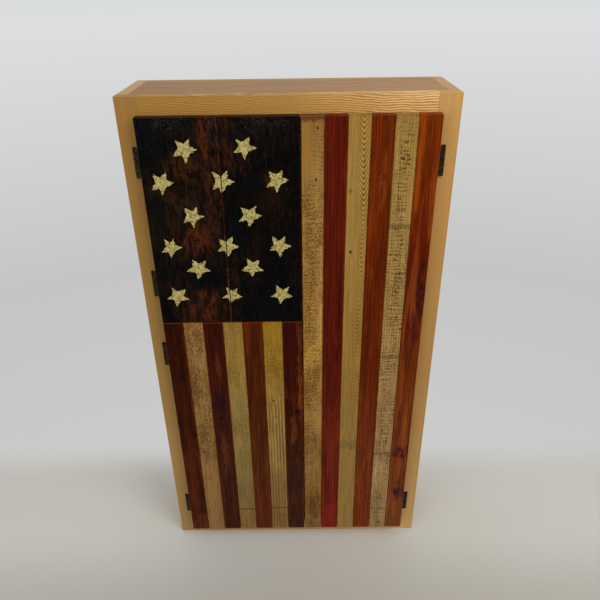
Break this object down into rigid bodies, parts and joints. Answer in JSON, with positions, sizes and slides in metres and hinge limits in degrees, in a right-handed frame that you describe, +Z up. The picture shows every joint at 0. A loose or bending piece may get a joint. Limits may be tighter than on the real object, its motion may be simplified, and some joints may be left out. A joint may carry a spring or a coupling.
{
  "type": "three-door wall cabinet",
  "caption": "Tall shallow wooden cabinet with a face frame and three hinged overlay doors of stained boards: a star panel above stripes on the left, tall stripes on the right.",
  "frame": {"origin": "centre of the whole cabinet's footprint, on the surface it stands on", "axes": "+X to the right seen from the front, +Y from the doors to the back, +Z up"},
  "size_m": [0.559, 0.187, 1.016],
  "materials": {
    "stain_navy": "worn blue-black stain",
    "stain_maroon": "worn dark maroon stain",
    "stain_red": "worn red-brown stain",
    "wash_cream": "worn cream wash over saw-marked board",
    "batten_pine": "planed, waxed",
    "inner_pine": "planed, oiled",
    "case_fir": "planed, warm oil finish",
    "top_fir": "planed, darker oil finish",
    "dowel_beech": "bare",
    "aged_bronze": "aged bronze",
    "screw_steel": "dull zinc",
    "brad_steel": "bright",
    "strike_steel": "satin",
    "pin_brass": "satin",
    "magnet": "ground",
    "catch_plastic": "brown, moulded"
  },
  "bodies": {
    "case": {"side_panel_left": "case_fir", "side_panel_right": "case_fir", "back_panel": "case_fir", "top_panel": "top_fir", "bottom_panel": "case_fir", "divider_panel": "inner_pine", "left_fixed_shelf": "inner_pine", "stile_left": "case_fir", "stile_right": "case_fir", "top_rail": "case_fir", "bottom_rail": "case_fir", "frame_brads": "brad_steel", "case_brads": "brad_steel", "frame_dowels": "dowel_beech", "lower_left_shelf": "inner_pine", "right_shelf_lower": "inner_pine", "right_shelf_upper": "inner_pine", "shelf_pins": "pin_brass", "canton_frame_leaves": "aged_bronze", "lower_left_frame_leaves": "aged_bronze", "right_frame_leaves": "aged_bronze", "hinge_pins": "aged_bronze", "catch_bodies": "catch_plastic", "catch_magnets": "magnet", "frame_small_screws": "screw_steel"},
    "canton_door": {"canton_board_1": "stain_navy", "canton_board_2": "stain_navy", "canton_batten_1": "batten_pine", "canton_batten_2": "batten_pine", "canton_batten_screws": "screw_steel", "canton_door_leaves": "aged_bronze", "canton_strike": "strike_steel", "canton_small_screws": "screw_steel"},
    "lower_left_door": {"lower_left_board_1": "stain_maroon", "lower_left_board_2": "wash_cream", "lower_left_board_3": "stain_maroon", "lower_left_board_4": "wash_cream", "lower_left_board_5": "stain_maroon", "lower_left_board_6": "wash_cream", "lower_left_board_7": "stain_maroon", "lower_left_batten_1": "batten_pine", "lower_left_batten_2": "batten_pine", "lower_left_batten_screws": "screw_steel", "lower_left_door_leaves": "aged_bronze", "lower_left_strike": "strike_steel", "lower_left_small_screws": "screw_steel"},
    "right_door": {"right_board_1": "wash_cream", "right_board_2": "stain_red", "right_board_3": "wash_cream", "right_board_4": "stain_red", "right_board_5": "wash_cream", "right_board_6": "stain_red", "right_batten_1": "batten_pine", "right_batten_2": "batten_pine", "right_batten_3": "batten_pine", "right_batten_screws": "screw_steel", "right_door_leaves": "aged_bronze", "right_strike": "strike_steel", "right_small_screws": "screw_steel"}
  },
  "joints": [
    {"name": "canton_swing", "type": "hinge", "parent": "case", "child": "canton_door", "pos_m": [-0.257, -0.073, 0.7975], "axis": [0, 0, -1], "range_deg": [0, 115]},
    {"name": "lower_left_swing", "type": "hinge", "parent": "case", "child": "lower_left_door", "pos_m": [-0.257, -0.073, 0.319], "axis": [0, 0, -1], "range_deg": [0, 115]},
    {"name": "right_swing", "type": "hinge", "parent": "case", "child": "right_door", "pos_m": [0.257, -0.073, 0.5095], "axis": [0, 0, 1], "range_deg": [0, 115]}
  ]
}
